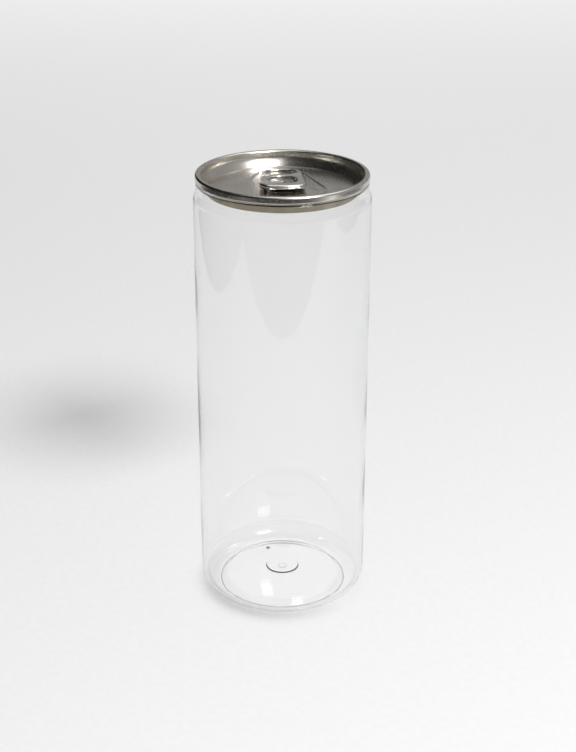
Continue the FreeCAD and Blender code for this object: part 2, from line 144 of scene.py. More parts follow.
# Section with each run cut into the fewest equal steps that are no longer than the given one.
def divided(section, step):
    parts = []
    for a, b in zip(section[:-1], section[1:]):
        count = max(1, math.ceil(np.linalg.norm(b - a) / step))
        parts.append(a + (b - a) * np.arange(count)[:, None] / count)
    return np.vstack(parts + [section[-1:]])


# Curve through a row of flat corners (x, y, rounding), closed, at even steps.
def roundedPath(corners, closed=True, spacing=0.15):
    raw = roundedSection(corners, closed, arcStep=4.0, hold=0.01)
    if closed:
        raw = np.vstack([raw, raw[:1]])
    run = np.concatenate([[0], np.cumsum(np.linalg.norm(np.diff(raw, axis=0), axis=1))])
    count = int(run[-1] / spacing)
    at = np.linspace(0, run[-1], count + 1)
    path = np.stack([np.interp(at, run, raw[:, i]) for i in (0, 1)], 1)
    return path[:-1] if closed else path


# Blown body: heel, pushed-up floor with its gate, straight wall, shoulder, neck and folded flange.
petValues = {
    "segments": 240, "longestStep": 2.8, "body": 28.8, "wall": 0.5, "heel": 6.6, "foot": 21.2, "step": 19.4,
    "stepHeight": 2.2, "dome": 3.6, "floor": 0.9, "gate": 5.8, "gateHeight": 0.35,
    "nub": 1.4, "nubHeight": 0.3, "shoulderHeight": 141.8, "neckHeight": 144.47, "neck": 27.9,
    "ledgeHeight": 147.15, "flange": 0.42, "flangeInner": 26.51, "flangeTop": 149.49,
    "hookOuter": 27.75, "hookTip": 147.95,
    "waveHeight": 0.02, "waveTurns": 3, "waveLength": 46.0, "waveFrom": 12, "waveTo": 138, "waveFade": 20,
    "rippleShare": 0.6, "rippleTurns": 5, "rippleLength": 31.0,
}


# Corners (radius, height, rounding) of the wall: from the middle underneath up the outside, over the flange
# and down the inside, which lies one wall in from the outside.
def petCorners(v):
    flangeOuter = v["flangeInner"] + v["flange"]
    hookInner = v["hookOuter"] - v["flange"]
    underFold = v["flangeTop"] - v["flange"]
    domeTop = v["dome"] + v["floor"]
    nubFoot = v["dome"] - v["nubHeight"]
    outside = [
        (0, nubFoot, 0), (v["nub"], nubFoot, 0.05), (v["nub"], v["dome"], 0.1),
        (v["step"] / 2, v["dome"], 90), (v["step"], v["stepHeight"], 1.5), (v["foot"], 0, 0.8),
        (v["body"], 0, v["heel"]), (v["body"], v["shoulderHeight"], 4), (v["neck"], v["neckHeight"], 1),
        (v["neck"], v["ledgeHeight"], 0.3), (flangeOuter, v["ledgeHeight"], 0.15),
    ]
    flange = [
        (flangeOuter, underFold, 0.12), (hookInner, underFold, 0.12), (hookInner, v["hookTip"], 0.14),
        (v["hookOuter"], v["hookTip"], 0.14), (v["hookOuter"], v["flangeTop"], 0.45),
        (v["flangeInner"], v["flangeTop"], 0.45),
    ]
    underLedge = v["ledgeHeight"] - v["flange"]
    neckInner, bodyInner = v["neck"] - v["wall"], v["body"] - v["wall"]
    inside = [
        (v["flangeInner"], underLedge, 0.3), (neckInner, underLedge, 0.3), (neckInner, v["neckHeight"], 1),
        (bodyInner, v["shoulderHeight"], 4), (bodyInner, v["wall"], v["heel"] - v["wall"]),
        (v["foot"] + v["wall"] / 2, v["wall"], 0.8),
        (v["step"] + v["wall"] / 2, v["stepHeight"] + v["floor"], 1.5), (v["step"] / 2, domeTop, 50),
        (v["gate"], domeTop, 0.15), (v["gate"] - v["gateHeight"], domeTop + v["gateHeight"], 0.15),
        (0, domeTop + v["gateHeight"], 0),
    ]
    return outside + flange + inside


petSection = divided(roundedSection(petCorners(petValues)), petValues["longestStep"])
petGrid = turned(petSection, petValues["segments"])
# Uneven inner wall, which bends the highlights: the radius grows by a height times
# sin(turns x angle + height / length), plus a finer ripple, faded out above the heel and below the shoulder.
innerRows = np.arange(len(petSection)) > np.argmax(petSection[:, 1])
fadeIn = np.clip((petSection[:, 1] - petValues["waveFrom"]) / petValues["waveFade"], 0, 1)
fadeOut = np.clip((petValues["waveTo"] - petSection[:, 1]) / petValues["waveFade"], 0, 1)
fade = fadeIn * fadeOut * innerRows
angle = np.arctan2(petGrid[..., 1], petGrid[..., 0])
upTurns = petGrid[..., 2] * 2 * math.pi
wave = np.sin(petValues["waveTurns"] * angle + upTurns / petValues["waveLength"])
ripple = np.sin(petValues["rippleTurns"] * angle - upTurns / petValues["rippleLength"])
wave += petValues["rippleShare"] * ripple
innerRadius = petValues["body"] - petValues["wall"]
petGrid[..., :2] *= (1 + petValues["waveHeight"] * fade[:, None] * wave / innerRadius)[..., None]
petShell = gridSurface("petShell", petGrid, poles=(True, True))
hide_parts("pet_body")
# The thin shell casts no shadow, and light bounced off the table passes it by.
petShell.visible_shadow = False
petShell.visible_diffuse = False
# Speck of dirt on the floor inside: a flattened ball with an uneven rim.
speckValues = {"place": (-4.6, 12.9), "size": (0.62, 0.55, 0.5), "sink": 0.08, "lobes": 0.22, "fine": 0.1,
               "columns": 40, "rows": 21, "floorFall": 1.05}
speckTurns = np.arange(speckValues["columns"]) * 2 * math.pi / speckValues["columns"]
speckRises = np.linspace(-math.pi / 2, math.pi / 2, speckValues["rows"])
speckTurn, speckRise = np.meshgrid(speckTurns, speckRises)
uneven = 1 + speckValues["lobes"] * np.sin(3 * speckTurn + 0.6)
uneven += speckValues["fine"] * np.sin(7 * speckTurn + 2 * speckRise)
# The floor falls from its middle by its fall times the square of the share of the way to its edge.
domeTop, floorEdge = petValues["dome"] + petValues["floor"], petValues["step"] + petValues["wall"] / 2
speckShare = math.hypot(*speckValues["place"]) / floorEdge
speckLevel = domeTop - speckShare ** 2 * speckValues["floorFall"] - speckValues["sink"]
(speckX, speckY), (halfX, halfY, halfZ) = speckValues["place"], speckValues["size"]
speckGrid = np.stack([speckX + halfX * uneven * np.cos(speckRise) * np.cos(speckTurn),
                      speckY + halfY * uneven * np.cos(speckRise) * np.sin(speckTurn),
                      speckLevel + halfZ * np.sin(speckRise)], -1)
speck = gridSurface("speck", speckGrid, poles=(True, True))
print("PET shell made")

# Sheet end: double seam, sloping wall, countersink and panel.
endValues = {
    "segments": 264, "panelStep": 0.27, "seamStep": 1.0, "undersideStep": 0.9, "arcStep": 12.0,
    "sheet": 0.25, "panel": 23.3, "panelHeight": 145.3, "grooveWidth": 0.9, "grooveHeight": 143.7,
    "plug": 26.2, "kinkHeight": 147.3, "top": 149.8, "seam": 28.06, "seamFoot": 147.5,
    "hook": 26.99, "hookTip": 148.85,
    "fieldDepth": 0.4, "fieldSlope": 1.1, "fieldFront": 14.2, "fieldBack": 9.2, "fieldFrontY": -5.4,
    "fieldLength": 15.9, "beadX": 5.0, "beadY": 4.1, "beadMiddle": -10.5, "beadCorner": 3.2,
    "beadRadius": 0.45, "seat": 3.6, "seatSlope": 1.1, "seatHeight": 0.4,
    "pressEdge": 1.0, "pressDepth": 0.3, "lacquerReach": 26.8, "lacquerTop": 147.6,
}


# Corners (radius, height, rounding) of the sheet, over the top to the tip of the hook and back underneath,
# where each corner lies one sheet in from the one above.
def endCorners(v):
    sheet, groove = v["sheet"], v["panel"] + v["grooveWidth"]
    over = [
        (0, v["panelHeight"], 0), (v["panel"], v["panelHeight"], 0.55),
        (v["panel"], v["grooveHeight"] + sheet, 0.4), (groove, v["grooveHeight"] + sheet, 0.4),
        (v["plug"], v["kinkHeight"], 4), (v["plug"], v["top"], 0.75), (v["seam"], v["top"], 0.75),
        (v["seam"], v["seamFoot"], 0.35), (v["hook"], v["seamFoot"], 0.3), (v["hook"], v["hookTip"], 0.05),
    ]
    under = [
        (v["hook"] + sheet, v["hookTip"], 0.05), (v["hook"] + sheet, v["seamFoot"] + sheet, 0.17),
        (v["seam"] - sheet, v["seamFoot"] + sheet, 0.35), (v["seam"] - sheet, v["top"] - sheet, 0.5),
        (v["plug"] + sheet, v["top"] - sheet, 0.5), (v["plug"] + sheet, v["kinkHeight"], 4),
        (groove + sheet, v["grooveHeight"], 0.6), (v["panel"] - sheet, v["grooveHeight"], 0.6),
        (v["panel"] - sheet, v["panelHeight"] - sheet, 0.3), (0, v["panelHeight"] - sheet, 0),
    ]
    return over + under


# Height of the pressed panel over its flat level: down by the field's eased depth, up by half a tube at the
# bead and by an eased step at the rivet's seat.
def pressed(x, y):
    # Field: distance to the hull of a large circle in front and a small one behind, eased across its slope.
    front, back, reach = endValues["fieldFront"], endValues["fieldBack"], endValues["fieldLength"]
    lean = (front - back) / reach
    rise = math.sqrt(1 - lean * lean)
    across, along = np.abs(x), y - endValues["fieldFrontY"]
    k = -lean * across + rise * along
    away = np.where(k < 0, np.hypot(across, along) - front,
                    np.where(k > rise * reach, np.hypot(across, along - reach) - back,
                             across * rise + along * lean - front))
    ramp = np.clip(-away / endValues["fieldSlope"], 0, 1)
    height = -endValues["fieldDepth"] * (ramp * 0.8 + 0.2 * ramp ** 2 * (3 - 2 * ramp))
    # Bead in the opening: half a tube round a rounded rectangle.
    corner, tube = endValues["beadCorner"], endValues["beadRadius"]
    bx = np.abs(x) - endValues["beadX"] + corner
    by = np.abs(y - endValues["beadMiddle"]) - endValues["beadY"] + corner
    ring = np.hypot(np.maximum(bx, 0), np.maximum(by, 0)) + np.minimum(np.maximum(bx, by), 0) - corner
    height += np.maximum(np.sqrt(np.maximum(tube ** 2 - ring ** 2, 0)) - tube / 4, 0)
    # Raised seat of the rivet.
    seat = np.clip((endValues["seat"] - np.hypot(x, y)) / endValues["seatSlope"], 0, 1)
    return height + endValues["seatHeight"] * seat * seat * (3 - 2 * seat)


endOutline = roundedSection(endCorners(endValues), arcStep=endValues["arcStep"])
# The two runs over and under the flat panel, each longer than 10 mm, get steps of their own.
longRuns = np.linalg.norm(np.diff(endOutline, axis=0), axis=1) > 10
firstFlat, lastFlat = np.flatnonzero(longRuns)[[0, -1]]
endSection = np.vstack([divided(endOutline[firstFlat:firstFlat + 2], endValues["panelStep"])[:-1],
                        divided(endOutline[firstFlat + 1:lastFlat + 1], endValues["seamStep"])[:-1],
                        divided(endOutline[lastFlat:lastFlat + 2], endValues["undersideStep"])])
endGrid = turned(endSection, endValues["segments"])
# Both faces of the panel move with the pressing, up to a flat margin at its edge.
pressReach = endValues["panel"] - endValues["pressEdge"]
pressFrom = endValues["panelHeight"] - endValues["pressDepth"]
onPanel = (endSection[:, 0] < pressReach) & (endSection[:, 1] > pressFrom)
endGrid[onPanel, :, 2] += pressed(endGrid[onPanel, :, 0], endGrid[onPanel, :, 1])
metalEnd = gridSurface("metalEnd", endGrid[::-1], poles=(True, True))
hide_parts("metal_end")

# Rivet: stem and flattened head, its top sunk towards the middle by dimple x (1 - radius / reach)^0.7.
rivetValues = {"segments": 128, "step": 0.15, "head": 2.45, "headTop": 146.4, "headUnder": 145.8,
               "stem": 1.6, "stemFoot": 145.1, "hollow": 0.16, "dimple": 0.04, "dimpleReach": 1.5,
               "dimpleFrom": 146}
head, headTop, stem = rivetValues["head"], rivetValues["headTop"], rivetValues["stem"]
hollowLevel = headTop - rivetValues["hollow"]
rivetSection = roundedSection([
    (0, hollowLevel, 0), (0.9, hollowLevel, 0.5), (1.2, headTop, 0.3),
    (head, headTop - 0.04, 0.28), (head, rivetValues["headUnder"] + 0.02, 0.1),
    (stem, rivetValues["headUnder"] - 0.01, 0.05), (stem, rivetValues["stemFoot"], 0.05),
    (0, rivetValues["stemFoot"], 0),
])
rivetGrid = turned(divided(rivetSection, rivetValues["step"]), rivetValues["segments"])
fromAxis = np.hypot(rivetGrid[..., 0], rivetGrid[..., 1]) / rivetValues["dimpleReach"]
onTop = rivetGrid[..., 2] > rivetValues["dimpleFrom"]
rivetGrid[..., 2] -= rivetValues["dimple"] * onTop * np.clip(1 - fromAxis, 0, 1) ** 0.7
rivetHead = gridSurface("rivetHead", rivetGrid[::-1], poles=(True, True))
print("metal end made")

# Score line: two fine ridges with a groove between them, a ribbon that lies on the panel round the opening
# and tapers to nothing at both ends. Corners are (x, y, rounding).
scoreValues = {
    "halfWidth": 0.24, "ridge": 0.05, "spacing": 0.12, "taperSteps": 6, "lift": 0.002,
    "relief": [0, 0.6, 1, 0.5, 0.1, 0.5, 1, 0.6, 0],
    "corners": [
        (-11.3, -6.58, 0), (-11.3, -16.9, 8.6), (11.3, -16.9, 8.6), (11.3, -0.4, 6), (4.2, -0.4, 0.7),
        (4.2, -4.6, 2.94), (-4.2, -4.6, 2.94), (-4.2, -0.4, 0.7), (-6.78, -0.4, 0),
    ],
}
scorePath = roundedPath(scoreValues["corners"], False, scoreValues["spacing"])
along = np.gradient(scorePath, axis=0)
along /= np.linalg.norm(along, axis=1)[:, None]
sideways = np.stack([-along[:, 1], along[:, 0]], 1)
relief = scoreValues["ridge"] * np.array(scoreValues["relief"])
across = np.linspace(-1, 1, len(relief)) * scoreValues["halfWidth"]
fromEnd = np.minimum(np.arange(len(scorePath)), np.arange(len(scorePath))[::-1])
taper = np.clip(fromEnd / scoreValues["taperSteps"], 0, 1)[:, None]
scoreLevel = endValues["panelHeight"] - endValues["fieldDepth"] + scoreValues["lift"]
scoreGrid = np.concatenate([
    scorePath[:, None] + sideways[:, None] * across[:, None] * taper[:, None],
    (scoreLevel + relief * taper)[..., None]], -1)
scoreLine = gridSurface("scoreLine", scoreGrid[:, ::-1], wrapColumns=False)
print("score line made")

# Pull tab: flat plate whose edge rolls under in a curl, with the finger hole and the slot round the rivet.
# Corners are (x, y, rounding); the slope's rows are (distance from the rivet, fall from the plate's top).
tabValues = {
    "level": 146.6, "tilt": 2.0, "curl": 0.75, "curlSteps": 28, "directions": 480, "edgeRoll": 0.4,
    "plate": 0.28, "heelDrop": 1.5, "frontDrop": 0.8, "heelCentre": 10.2, "bridgeY": 5.9,
    "slotRadius": 4.8, "slotRoll": 0.36, "slotDrop": 0.75, "slotHalfAngle": 108.0, "slotEase": 5.0,
    "islandTop": -0.93, "islandInner": 1.75, "islandOuter": 3.4, "islandPlate": 0.25, "islandSegments": 96,
    # Faces of the tab that look down more than this take the painted shade of the underside.
    "paintedShadeBelow": 0.25,
    "outline": [(0, -7.436, 22), (6.9, -6.536, 3), (6.35, 12.26, 4), (0, 15.46, 7.6), (-6.35, 12.26, 4),
                (-6.9, -6.536, 3)],
    "hole": [(0, 5.2, 4), (5.5, 9.5, 1.2), (3.9, 13.1, 2.2), (0, 13.75, 9), (-3.9, 13.1, 2.2),
             (-5.5, 9.5, 1.2)],
    "slope": [(5.35, 0), (5.1, 0.03), (4.9, 0.14), (4.6, 0.42), (4.2, 0.86), (3.85, 1.24), (3.6, 1.46),
              (3.3, 1.6)],
}
curlPath = roundedPath(tabValues["outline"])
holePath = roundedPath(tabValues["hole"])


# Tab points turned by the tilt about the can's x axis and lifted to the tab's level.
def tilted(grid):
    a = math.radians(-tabValues["tilt"])
    x, y, z = grid[..., 0], grid[..., 1], grid[..., 2]
    high = y * math.sin(a) + z * math.cos(a) + tabValues["level"]
    return np.stack([x, y * math.cos(a) - z * math.sin(a), high], -1)


# Distance of a closed path from a centre on the y axis, read off between its points for each direction.
def reachOf(path, centreY, angles):
    at = np.arctan2(path[:, 1] - centreY, path[:, 0])
    far = np.hypot(path[:, 0], path[:, 1] - centreY)
    order = np.argsort(at)
    return np.interp(angles, at[order], far[order], period=2 * math.pi)


# Curl: round tube along the outline.
ahead = np.roll(curlPath, -1, 0) - np.roll(curlPath, 1, 0)
ahead /= np.linalg.norm(ahead, axis=1)[:, None]
outward = np.stack([ahead[:, 1], -ahead[:, 0]], 1)
around = np.arange(tabValues["curlSteps"]) * 2 * math.pi / tabValues["curlSteps"]
curlHeights = np.broadcast_to(tabValues["curl"] * np.sin(around), (len(curlPath), len(around)))
curlGrid = np.concatenate([
    curlPath[:, None] + outward[:, None] * (tabValues["curl"] * np.cos(around))[:, None],
    curlHeights[..., None]], -1)
tabCurl = gridSurface("tabCurl", tilted(curlGrid)[::-1], wrapRows=True)

# A plate round an opening is a stack of rows: (distance from the centre, height) for each direction.
top, under = tabValues["curl"], tabValues["curl"] - tabValues["plate"]
islandTop = tabValues["islandTop"]
angles = np.arange(tabValues["directions"]) * 2 * math.pi / tabValues["directions"] - math.pi
rollTurns = np.linspace(0, math.pi / 2, 7)[1:]
noTurn = 0 * angles


# Rows over the flat top, down a quarter circle at the opening's edge to its drop, and back underneath.
def edgeRows(outer, inner, roll, drop):
    rows = [(outer + (inner + roll - outer) * t, top + noTurn) for t in np.linspace(0, 1, 14)]
    rows += [(inner + roll * (1 - math.sin(t)), top - roll * (1 - math.cos(t))) for t in rollTurns]
    rows += [(inner + noTurn, top - roll - (drop - roll) * t) for t in (0.3, 0.7, 1.0)]
    rows += [(inner + 0.1, top - drop - 0.07), (inner + 0.25, top - drop - 0.02)]
    rows += [(inner + 0.28, under - 0.1), (inner + roll * 0.6 + 0.3, under), (outer, under)]
    return np.array([[r + noTurn, z + noTurn] for r, z in rows])


# Rows over the flat top, down the slope to the island and back underneath; those after the flat top are
# read off at even steps, so that there are as many as asked for.
def slopeRows(outer, count):
    flatRows = 13
    rim = tabValues["slope"][0][0]
    rows = [(outer + (rim - outer) * t, top) for t in np.linspace(0, 1, flatRows + 1)[:-1]]
    rows += [(r, top - fall) for r, fall in tabValues["slope"]]
    rows += [(3.0, islandTop), (2.9, islandTop - 0.2), (3.3, islandTop - 0.24), (3.9, islandTop - 0.1)]
    rows += [(4.8, under - 0.6), (5.2, under), (outer, under)]
    whole = np.array([[r + noTurn, z + noTurn] for r, z in rows])
    keep = np.linspace(flatRows, len(whole) - 1, count - flatRows)
    low = np.floor(keep).astype(int)
    high = np.minimum(low + 1, len(whole) - 1)
    part = (keep - low)[:, None, None]
    return np.concatenate([whole[:flatRows], whole[low] * (1 - part) + whole[high] * part])


# Grid of such rows, set round a centre on the y axis and tilted with the tab.
def placed(rows, centreY):
    radius, height = rows[:, 0], rows[:, 1]
    return tilted(np.stack([radius * np.cos(angles), centreY + radius * np.sin(angles), height], -1))


# The plate's halves meet at the bridge, a line across the tab between the slot and the finger hole.
rise = np.sin(angles)
heelCentre, bridgeY = tabValues["heelCentre"], tabValues["bridgeY"]
with np.errstate(divide="ignore"):
    heelBridge = np.where(rise < 0, (bridgeY - heelCentre) / rise, 99)
    noseBridge = np.where(rise > 0, bridgeY / rise, 99)
heelOuter = np.minimum(reachOf(curlPath, heelCentre, angles), heelBridge)
noseOuter = np.minimum(reachOf(curlPath, 0, angles), noseBridge)
heelInner = np.minimum(reachOf(holePath, heelCentre, angles), heelOuter - 0.1)
heelRoll = np.minimum(tabValues["edgeRoll"], heelOuter - heelInner)
deeper = tabValues["heelDrop"] - tabValues["frontDrop"]
heelDrop = tabValues["frontDrop"] + deeper * np.clip(rise + 0.5, 0, 1)
heelRows = edgeRows(heelOuter, heelInner, heelRoll, heelDrop)
tabHeel = gridSurface("tabHeel", placed(heelRows, heelCentre), wrapRows=True)

# Nose half: the slot's edge rolls down behind the rivet, and in front the plate slopes down to the island.
slotInner = np.minimum(tabValues["slotRadius"] + noTurn, noseOuter - 0.05)
slotRoll = np.minimum(tabValues["slotRoll"], noseOuter - tabValues["slotRadius"])
lip = edgeRows(noseOuter, slotInner, slotRoll, tabValues["slotDrop"])
slope = slopeRows(noseOuter, len(lip))
fromBack = np.abs(np.degrees(np.angle(np.exp(1j * (angles - math.pi / 2)))))
blend = np.clip((fromBack - tabValues["slotHalfAngle"]) / tabValues["slotEase"] + 0.5, 0, 1)
blend = blend * blend * (3 - 2 * blend)
tabNose = gridSurface("tabNose", placed(lip * (1 - blend) + slope * blend, 0), wrapRows=True)

# Island: plate ring held under the rivet's head.
islandFoot = islandTop - tabValues["islandPlate"]
ringInner, ringOuter = tabValues["islandInner"], tabValues["islandOuter"]
islandSection = roundedSection([(ringInner, islandFoot, 0.05), (ringOuter, islandFoot, 0.1),
                                (ringOuter, islandTop, 0.1), (ringInner, islandTop, 0.05)], closed=True)
island = turned(islandSection, tabValues["islandSegments"])
tabIsland = gridSurface("tabIsland", tilted(island), wrapRows=True)
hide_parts("pull_tab")
print("pull tab made")

# Object coordinates are in metres: this turns them to millimetres, so a noise's scale is one over its size.
# A noise mostly keeps between the two values of the span.
perMm = 1 / mm
noiseSpan = {"From Min": 0.3, "From Max": 0.7}

# Blown PET: what is behind it shows through clear, and the wall's edges carry a faint cool grey. Waves 14 mm
# wide from the blowing bend the highlights. Haze from handling, 9 mm wide, and grain of 0.9 mm soften them a
# little. All are stretched up the wall, and real scuffs are finer than the grain, which has to show.
petLook = {"clear": "fdfdfd", "edge": "eef2f1", "edgeBlend": 0.12, "stretch": 0.35, "hazeSize": 9.0,
           "clearest": 0.008, "haziest": 0.03, "waveSize": 14.0, "waveDepth": 0.012, "grainSize": 0.9,
           "grainDepth": 0.0004}
petMaterial, petTree, petShader = newMaterial("blown clear PET", {"IOR": 1.57, "Transmission Weight": 1.0})
petSpot = addNode(petTree, "ShaderNodeTexCoord", {}, {}).outputs["Object"]
petPlace = addNode(petTree, "ShaderNodeVectorMath", {
    "operation": "MULTIPLY", 1: (perMm, perMm, petLook["stretch"] * perMm)}, {0: petSpot})
petEdge = addNode(petTree, "ShaderNodeLayerWeight", {"Blend": petLook["edgeBlend"]}, {}).outputs["Facing"]
# A colour mix keeps its two colours in sockets 6 and 7 and its result in output 2.
petColour = addNode(petTree, "ShaderNodeMix", {
    "data_type": "RGBA", 6: linearColour(petLook["clear"]), 7: linearColour(petLook["edge"])}, {0: petEdge})
petHaze = addNode(petTree, "ShaderNodeTexNoise", {"Scale": 1 / petLook["hazeSize"], "Detail": 4},
                  {"Vector": petPlace})
petRough = addNode(petTree, "ShaderNodeMapRange", {
    **noiseSpan, "To Min": petLook["clearest"], "To Max": petLook["haziest"]}, {"Value": petHaze})
petWave = addNode(petTree, "ShaderNodeTexNoise", {"Scale": 1 / petLook["waveSize"], "Detail": 1},
                  {"Vector": petPlace})
petWaveHeight = addNode(petTree, "ShaderNodeMapRange", noiseSpan, {"Value": petWave})
petWaves = addNode(petTree, "ShaderNodeBump", {"Distance": petLook["waveDepth"] * mm, "Strength": 1.0},
                   {"Height": petWaveHeight})
petGrain = addNode(petTree, "ShaderNodeTexNoise", {"Scale": 1 / petLook["grainSize"], "Detail": 2},
                   {"Vector": petPlace})
petGrainHeight = addNode(petTree, "ShaderNodeMapRange", noiseSpan, {"Value": petGrain})
petGrained = addNode(petTree, "ShaderNodeBump", {"Distance": petLook["grainDepth"] * mm, "Strength": 1.0},
                     {"Height": petGrainHeight, "Normal": petWaves})
feed(petTree, petShader, {"Base Color": petColour.outputs[2], "Roughness": petRough, "Normal": petGrained})

# Rolled sheet: fine grain stretched along the rolling direction smears the highlights, patches 5.5 mm wide
# make them uneven, and hairline scratches a millimetre or two apart catch the light. Rolling grain is near
# 0.02 mm and is drawn at 0.16 mm, as coarse as it needs to show.
sheetLook = {"grainSize": 0.16, "patchSize": 5.5, "patchRoughness": 0.05, "smoother": 0.02,
             "hairSize": 1.7, "hairStretch": 0.12, "hairAt": 0.62, "hairWidth": 0.004,
             "hairRoughness": 0.12, "hairDepth": 0.0008}


# Sheet whose roughness is patches x their share + roughness - a constant, plus the hairlines' share. A
# hairline is where a stretched noise is nearer than its width to a fixed value.
def newSheet(name, look):
    made, tree, shader = newMaterial(name, {"Metallic": 1.0})
    spot = addNode(tree, "ShaderNodeTexCoord", {}, {}).outputs["Object"]
    place = addNode(tree, "ShaderNodeVectorMath", {"operation": "MULTIPLY", 1: (perMm, perMm, perMm)},
                    {0: spot})
    rolled = addNode(tree, "ShaderNodeVectorMath", {
        "operation": "MULTIPLY", 1: [k * perMm for k in look["rolling"]]}, {0: spot})
    grain = addNode(tree, "ShaderNodeTexNoise", {"Scale": 1 / sheetLook["grainSize"], "Detail": 3},
                    {"Vector": rolled})
    grainHeight = addNode(tree, "ShaderNodeMapRange", noiseSpan, {"Value": grain})
    spots = addNode(tree, "ShaderNodeTexNoise", {"Scale": 1 / sheetLook["patchSize"], "Detail": 5},
                    {"Vector": place})
    patches = addNode(tree, "ShaderNodeMapRange", noiseSpan, {"Value": spots})
    colour = addNode(tree, "ShaderNodeMix", {
        "data_type": "RGBA", 6: linearColour(look["colour"]), 7: linearColour(look["dull"])}, {0: patches})
    drawn = addNode(tree, "ShaderNodeVectorMath", {
        "operation": "MULTIPLY", 1: (perMm, sheetLook["hairStretch"] * perMm, perMm)}, {0: spot})
    hair = addNode(tree, "ShaderNodeTexNoise", {"Scale": 1 / sheetLook["hairSize"], "Detail": 0.0},
                   {"Vector": drawn})
    gap = addNode(tree, "ShaderNodeMath", {"operation": "SUBTRACT", 1: sheetLook["hairAt"]}, {0: hair})
    near = addNode(tree, "ShaderNodeMath", {"operation": "ABSOLUTE"}, {0: gap})
    line = addNode(tree, "ShaderNodeMapRange", {
        "From Min": 0.0, "From Max": sheetLook["hairWidth"], "To Min": 1.0, "To Max": 0.0}, {"Value": near})
    haze = addNode(tree, "ShaderNodeMath", {
        "operation": "MULTIPLY_ADD", 1: sheetLook["patchRoughness"],
        2: look["roughness"] - sheetLook["smoother"]}, {0: patches})
    rough = addNode(tree, "ShaderNodeMath", {"operation": "MULTIPLY_ADD", 1: sheetLook["hairRoughness"]},
                    {0: line, 2: haze})
    grained = addNode(tree, "ShaderNodeBump", {"Distance": look["grainDepth"] * mm, "Strength": 1.0},
                      {"Height": grainHeight})
    scratched = addNode(tree, "ShaderNodeBump", {"Distance": -sheetLook["hairDepth"] * mm, "Strength": 1.0},
                        {"Height": line, "Normal": grained})
    feed(tree, shader, {"Base Color": colour.outputs[2], "Roughness": rough, "Normal": scratched})
    return made


# Lacquered end stock: satin, with broad soft highlights of a slightly warm grey.
endMaterial = newSheet("lacquered aluminium sheet", {
    "colour": "d8d4cd", "dull": "cbc6be", "roughness": 0.24, "grainDepth": 0.0005, "rolling": (0.06, 1, 1)})
# Epoxy lacquer on the product side: aluminium under a dull gold film, seen through the clear neck.
lacquerMaterial = newSheet("gold epoxy lacquer", {
    "colour": "958c72", "dull": "857d68", "roughness": 0.4, "grainDepth": 0.0012, "rolling": (1, 1, 0.1)})
# Tab stock: rolled aluminium, brighter and sharper in its highlights than the end.
tabMaterial = newSheet("aluminium tab stock", {
    "colour": "e0ddd8", "dull": "d3cfc9", "roughness": 0.16, "grainDepth": 0.0004, "rolling": (1, 0.06, 1)})
# Underside of the tab: the same stock painted dark and dull as painted shade for where it lies in shadow,
# dark and without highlights.
undersideShadeMaterial = newSheet("tab underside painted with shade", {
    "colour": "4d4a44", "dull": "3b3934", "roughness": 0.5, "grainDepth": 0.001, "rolling": (1, 0.06, 1)})

# Dirt: dry dark grey grit in patches of 0.35 mm, matt and rough against the clear base.
dirtLook = {"dark": "3c3a38", "light": "5f5c59", "roughness": 0.85, "patchSize": 0.35, "depth": 0.06}
dirtMaterial, dirtTree, dirtShader = newMaterial("grey dirt", {"Roughness": dirtLook["roughness"]})
dirtSpot = addNode(dirtTree, "ShaderNodeTexCoord", {}, {}).outputs["Object"]
dirtPlace = addNode(dirtTree, "ShaderNodeVectorMath", {"operation": "MULTIPLY", 1: (perMm, perMm, perMm)},
                    {0: dirtSpot})
dirtNoise = addNode(dirtTree, "ShaderNodeTexNoise", {"Scale": 1 / dirtLook["patchSize"], "Detail": 3},
                    {"Vector": dirtPlace})
dirtPatches = addNode(dirtTree, "ShaderNodeMapRange", noiseSpan, {"Value": dirtNoise})
dirtColour = addNode(dirtTree, "ShaderNodeMix", {
    "data_type": "RGBA", 6: linearColour(dirtLook["dark"]), 7: linearColour(dirtLook["light"])},
    {0: dirtPatches})
dirtRelief = addNode(dirtTree, "ShaderNodeBump", {"Distance": dirtLook["depth"] * mm, "Strength": 1.0},
                     {"Height": dirtPatches})
feed(dirtTree, dirtShader, {"Base Color": dirtColour.outputs[2], "Normal": dirtRelief})

# Materials on the pieces. The tab's faces that look down get the underside with painted shade, and the
# island all of it, as painted shadow under the tab and round the rivet.
speck.data.materials.append(dirtMaterial)
petShell.data.materials.append(petMaterial)
for piece in (metalEnd, rivetHead, scoreLine):
    piece.data.materials.append(endMaterial)
# The whole island takes the painted shade of the underside.
tabIsland.data.materials.append(undersideShadeMaterial)
tabCurl.data.materials.append(tabMaterial)
for piece in (tabHeel, tabNose):
    piece.data.materials.append(tabMaterial)
    piece.data.materials.append(undersideShadeMaterial)
    downward = np.empty(len(piece.data.polygons) * 3)
    piece.data.polygons.foreach_get("normal", downward)
    # Faces that look down take the painted shade.
    paintedShadeFaces = downward[2::3] < -tabValues["paintedShadeBelow"]
    piece.data.polygons.foreach_set("material_index", paintedShadeFaces.astype(np.int32))
